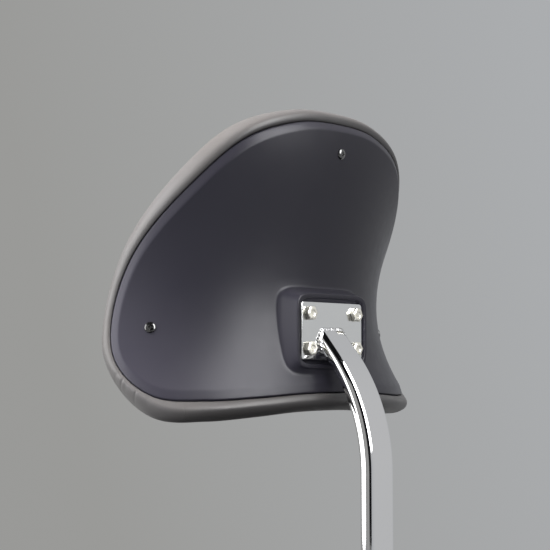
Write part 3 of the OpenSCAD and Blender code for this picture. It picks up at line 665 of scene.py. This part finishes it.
def bar_rings(less):
    """Rings along the bar, less mm inside its outer face. The last one is cut to the plate."""
    p = oval(bar_w - 2 * less, bar_d - 2 * less, bar_r - less, OVAL_STEPS)
    rings = []
    for y, z, a in bar_stations():
        rings.append(np.stack([p[:, 0], y + p[:, 1] * math.cos(a), z + p[:, 1] * math.sin(a)], -1))
    end = rings[-1]
    go = (end[:, 1] - plate_y - seat) / math.sin(bend_angle)
    for share in (0.4, 1.0):
        rings.append(np.stack([end[:, 0], end[:, 1] - share * go * math.sin(bend_angle),
                               end[:, 2] + share * go * math.cos(bend_angle)], -1))
    return rings


def build_bar():
    bar = loft("oval_bar", bar_rings(0) + bar_rings(bar_wall)[::-1], wrap=True, sharp=40)
    return dress(bar, "bar_chrome", "back", "support_bar")


def build_weld():
    """A rippled bead round the bar's upper end, thickest at its left and lower left, seen from behind."""
    slope = math.sin(bend_angle)
    base = oval(bar_w, bar_d, bar_r, OVAL_STEPS)
    step = np.linalg.norm(np.roll(base, -1, 0) - base, axis=1)
    at = np.concatenate([[0], np.cumsum(step)])
    want = np.arange(WELD_STEPS) / WELD_STEPS * at[-1]
    loop = np.vstack([base, base[:1]])
    p = np.stack([np.interp(want, at, loop[:, 0]), np.interp(want, at, loop[:, 1])], -1)
    n = -outward(p)
    leg = np.empty(WELD_STEPS)
    for i in range(WELD_STEPS):
        ripple = abs(math.sin(want[i] * math.pi / ripple_pitch))
        rough = noise.noise(Vector((p[i, 0] * rough_per_mm, p[i, 1] * rough_per_mm, 3.0)))
        blob = (max(n[i, 0], 0.0) ** 2
                + blob_low * max(-n[i, 1], 0.0) * max(0.0, p[i, 0] / bar_w + blob_reach))
        leg[i] = weld_leg * (thin + thin_ripple * ripple + thin_rough * rough
                             + blob * (blob_more + blob_rough * rough + blob_ripple * ripple))
    leg = np.clip(leg, weld_leg_min, weld_leg_max)
    rings = []
    for g, h in WELD_SECTION:
        x = p[:, 0] + n[:, 0] * leg * g
        z = p[:, 1] / slope + n[:, 1] * leg * g
        height = leg * h + seat
        back = height / math.tan(bend_angle) * (1 - 0.6 * max(g, 0))
        rings.append(np.stack([x, plate_y + height, weld_z + z - back], -1))
    weld = loft("weld_ripple", rings, wrap=True)
    return dress(weld, "weld_chrome", "back", "weld_bead")


build_shell()
build_cushion()
build_plate()
build_bolts()
build_screws()
build_bar()
build_weld()
# CAD nodes that only get round edges: width of the round in mm, finish slot and body
for node, width, slot, body in (("receiver_sleeve", 0.5, "black_paint", "receiver"),
                                ("sleeve_liner", 0.3, "nylon", "receiver"),
                                ("bracket_plate", 0.6, "black_paint", "receiver"),
                                ("bracket_gussets", 0.5, "black_paint", "receiver"),
                                ("weld_nut", 0.4, "zinc_steel", "receiver"),
                                ("knob_grip", 1.2, "knob_plastic", "knob"),
                                ("knob_cap", 0.3, "nylon", "knob"),
                                ("bar_end_cap", 0.6, "black_plastic", "back"),
                                ("bar_stop_pin", 0.3, "zinc_steel", "back")):
    dress(refined(node, width), slot, body, node)

# every CAD node that stays gets its finish
finish_of = {row["node"]: row["material_slot"] for row in frame["record"]["subparts"]}
for name, ob in nodes.items():
    if not ob.hide_render:
        for s in ob.material_slots:
            s.material = SLOTS[finish_of[name]].mat

# lights: directions in degrees from the pad's middle, metres
AIM = Vector((0, 0, 0.22))
CARD_COLOR = (0.012, 0.012, 0.014)


def toward(phi, rise):
    f, e = math.radians(phi), math.radians(rise)
    return Vector((math.cos(f) * math.cos(e), math.sin(f) * math.cos(e), math.sin(e)))


def stand(name, data, phi, rise, distance):
    """An object in the direction phi, rise from the pad, that faces it."""
    ob = add_object(name, data)
    ob.location = AIM + toward(phi, rise) * distance
    ob.rotation_mode = "QUATERNION"
    ob.rotation_quaternion = (-toward(phi, rise)).to_track_quat("-Z", "Y")
    ob.visible_camera = False
    return ob


def softbox(name, phi, rise, distance, size, radiance, color=(1, 1, 1), only=None):
    """A softbox. With only, it lights either matt surfaces or reflections."""
    data = bpy.data.lights.new(name, "AREA")
    data.shape = "RECTANGLE"
    data.size, data.size_y = size
    data.energy = radiance * size[0] * size[1] * math.pi
    data.color = color
    ob = stand(name, data, phi, rise, distance)
    ob.visible_diffuse = only != "gloss"
    ob.visible_glossy = only != "matt"


def card(name, phi, rise, distance, size):
    """A dark card that only reflections see."""
    w, h = size[0] / 2, size[1] / 2
    me = bpy.data.meshes.new(name)
    me.from_pydata([(-w, -h, 0), (w, -h, 0), (w, h, 0), (-w, h, 0)], [], [(0, 1, 2, 3)])
    me.materials.append(add_material(name, CARD_COLOR, Specular_IOR_Level=0.0)[0])
    ob = stand(name, me, phi, rise, distance)
    for flag in ("visible_diffuse", "visible_shadow", "visible_transmission", "visible_volume_scatter"):
        setattr(ob, flag, False)


# direction round and up, distance, size, and a softbox's radiance
softbox("overhead", 318, 75, 1.9, (1.5, 1.5), 8.8, (1.0, 0.955, 0.92), only="matt")
softbox("left_box", 322, 15, 2.0, (2.3, 2.1), 2.6)
softbox("fill_box", 8, 3, 2.0, (1.5, 1.5), 1.7, only="matt")
softbox("right_box", 99, 32, 2.0, (1.15, 2.0), 7.4, only="gloss")
softbox("front_box", 262, 18, 1.9, (1.2, 1.2), 0.9, only="matt")
card("flag_side", 60, 13, 2.3, (1.45, 2.15))
card("flag_top", 50, 68, 2.3, (2.7, 2.7))
card("flag_low", 0, -90, 0.39, (1.3, 1.3))

# floor: a pale disc that fades into the backdrop between two radii
floor_radius, floor_z = 1.2, -0.175
fade_from, fade_to = 0.45, 1.15
bm = bmesh.new()
bmesh.ops.create_circle(bm, cap_ends=True, radius=floor_radius, segments=96)
floor_me = bpy.data.meshes.new("floor")
bm.to_mesh(floor_me)
bm.free()
floor_ob = add_object("floor", floor_me)
floor_ob.location = (0, 0, floor_z)
floor_mat, floor_bsdf = add_material("floor_pale", (0.5, 0.5, 0.5), Roughness=0.8)
tree = floor_mat.node_tree
away = add_node(tree, "VectorMath", operation="LENGTH")
tree.links.new(add_node(tree, "TexCoord").outputs["Object"], away.inputs[0])
fade = add_node(tree, "MapRange", interpolation_type="SMOOTHSTEP", Value=away.outputs["Value"],
                From_Min=fade_from, From_Max=fade_to, To_Min=1.0, To_Max=0.0)
tree.links.new(fade.outputs["Result"], floor_bsdf.inputs["Alpha"])
floor_me.materials.append(floor_mat)
floor_ob.visible_diffuse = False

# world: a grey backdrop that cameras, gloss and glass see, and an even light for the rest
EVEN_STOPS = ((0.25, (0.05, 0.05, 0.05)), (0.5, (0.18, 0.18, 0.19)), (1.0, (0.42, 0.43, 0.45)))
BACKDROP_STOPS = ((0.0, (0.29, 0.29, 0.285)), (0.475, (0.323, 0.323, 0.314)), (0.684, (0.407, 0.418, 0.43)),
                  (1.0, (0.5, 0.505, 0.51)))
bright_phi, bright_lift = math.radians(140), 0.25      # where the backdrop is brightest


def color_ramp(tree, value, stops):
    """A colour that goes through stops as value goes from -1 to 1."""
    share = add_node(tree, "MapRange", From_Min=-1.0, Value=value).outputs["Result"]
    n = add_node(tree, "ValToRGB", Fac=share)
    elements = n.color_ramp.elements
    for element, (position, color) in zip(elements, (stops[0], stops[-1])):
        element.position = position
        element.color = color + (1,)
    for position, color in stops[1:-1]:
        elements.new(position).color = color + (1,)
    return n.outputs["Color"]


world = bpy.data.worlds.new("studio")
scene.world = world
world.use_nodes = True
tree = world.node_tree
tree.nodes.clear()
direction = add_node(tree, "TexCoord").outputs["Generated"]
sideways = add_node(tree, "VectorMath", operation="DOT_PRODUCT")
sideways.inputs[1].default_value = (math.cos(bright_phi), math.sin(bright_phi), bright_lift)
tree.links.new(direction, sideways.inputs[0])
upward = add_node(tree, "SeparateXYZ", Vector=direction)
even = add_node(tree, "Background", Color=color_ramp(tree, upward.outputs["Z"], EVEN_STOPS), Strength=1.0)
seen = add_node(tree, "Background", Color=color_ramp(tree, sideways.outputs["Value"], BACKDROP_STOPS),
                Strength=1.0)
rays = add_node(tree, "LightPath")
sees = rays.outputs["Is Camera Ray"]
for kind in ("Is Glossy Ray", "Is Transmission Ray"):
    either = add_node(tree, "Math", operation="ADD", use_clamp=True)
    tree.links.new(sees, either.inputs[0])
    tree.links.new(rays.outputs[kind], either.inputs[1])
    sees = either.outputs[0]
mix = add_node(tree, "MixShader", Fac=sees)
tree.links.new(even.outputs[0], mix.inputs[1])
tree.links.new(seen.outputs[0], mix.inputs[2])
add_node(tree, "OutputWorld", Surface=mix.outputs[0])

# camera, as fitted to the photo
SENSOR_MM, FOCAL_PX, PICTURE_PX = 36.0, 1263.3, 550
yaw, pitch = math.radians(46.6), math.radians(4.0)
cam_data = bpy.data.cameras.new("camera")
cam_data.sensor_width = SENSOR_MM
cam_data.lens = FOCAL_PX / PICTURE_PX * SENSOR_MM
cam = add_object("camera", cam_data)
ahead = Vector((-math.sin(yaw) * math.cos(pitch), -math.cos(yaw) * math.cos(pitch), math.sin(pitch)))
cam.location = (0.9674, 0.8488, 0.2178)
cam.rotation_mode = "QUATERNION"
cam.rotation_quaternion = ahead.to_track_quat("-Z", "Y")
scene.camera = cam
scene.view_settings.view_transform = "Standard"
